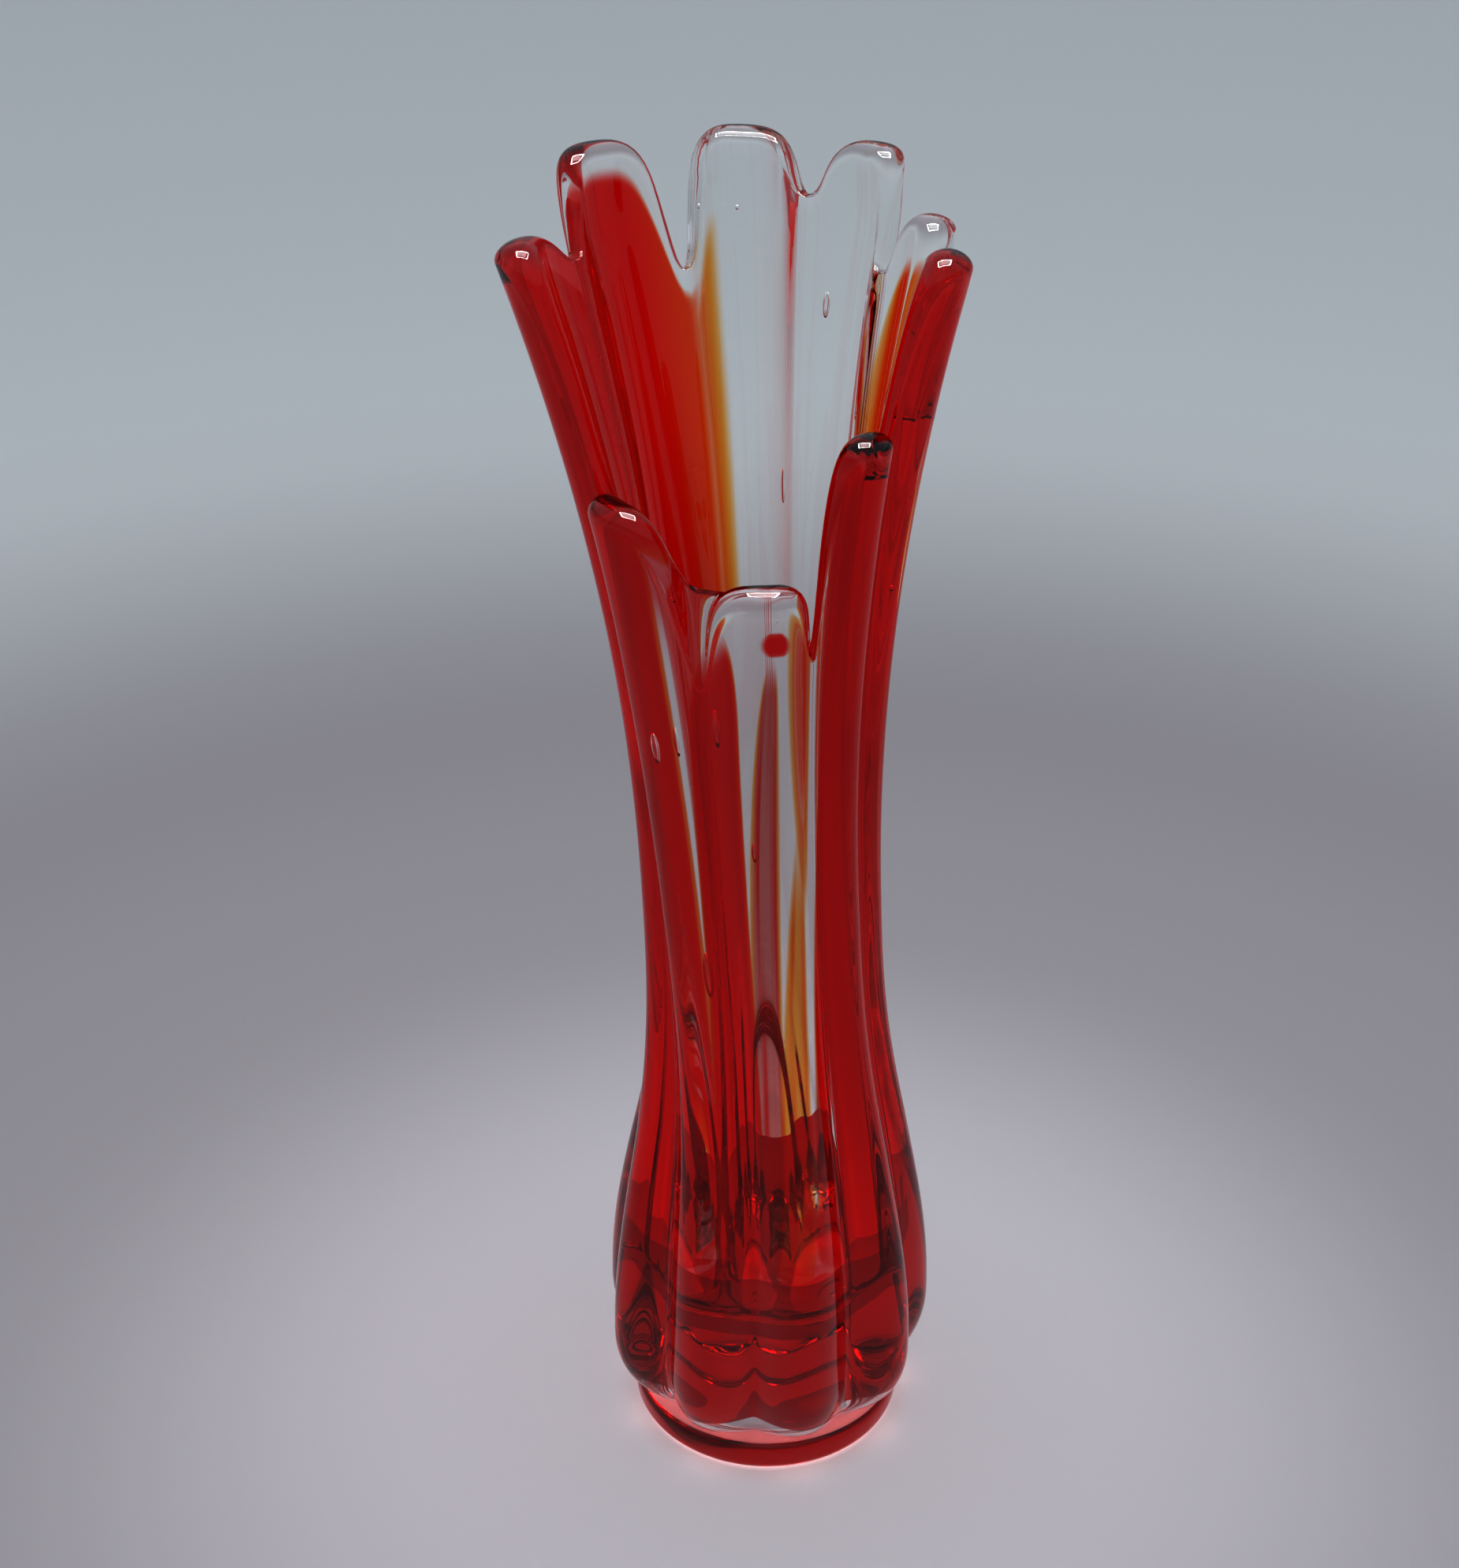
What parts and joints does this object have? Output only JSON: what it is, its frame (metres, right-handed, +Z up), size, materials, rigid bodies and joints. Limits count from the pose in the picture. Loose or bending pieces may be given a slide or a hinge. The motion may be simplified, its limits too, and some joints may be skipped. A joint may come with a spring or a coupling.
{
  "type": "glass vase",
  "caption": "Tall hand blown art glass vase on a disc foot, ribbed and waisted, with a flared rim of rounded fingers and red and amber glass cased in clear glass.",
  "frame": {"origin": "centre of the foot's resting face", "axes": "+Z up the vase, -Y towards the front, where the rim is lowest; the mouth drifts towards -X"},
  "size_m": [0.1029, 0.0903, 0.3306],
  "materials": {
    "clear_glass": "fire polished, colourless, a few long bubbles",
    "foot_glass": "fire polished, faintly pink",
    "ruby_glass": "transparent deep red sealed under clear glass",
    "pink_glass": "transparent pink sealed under clear glass",
    "amber_glass": "transparent amber sealed under clear glass"
  },
  "bodies": {
    "root": {"clear_casing": "clear_glass", "clear_gather": "clear_glass", "foot_disc": "foot_glass", "ruby_pool": "ruby_glass", "ruby_field_left": "ruby_glass", "ruby_field_back": "ruby_glass", "ruby_field_right": "ruby_glass", "ruby_stripe_front": "ruby_glass", "pink_stripe_front": "pink_glass", "amber_stripe_front": "amber_glass", "amber_band_back": "amber_glass", "amber_flame_right": "amber_glass", "red_bead": "ruby_glass"}
  },
  "joints": []
}
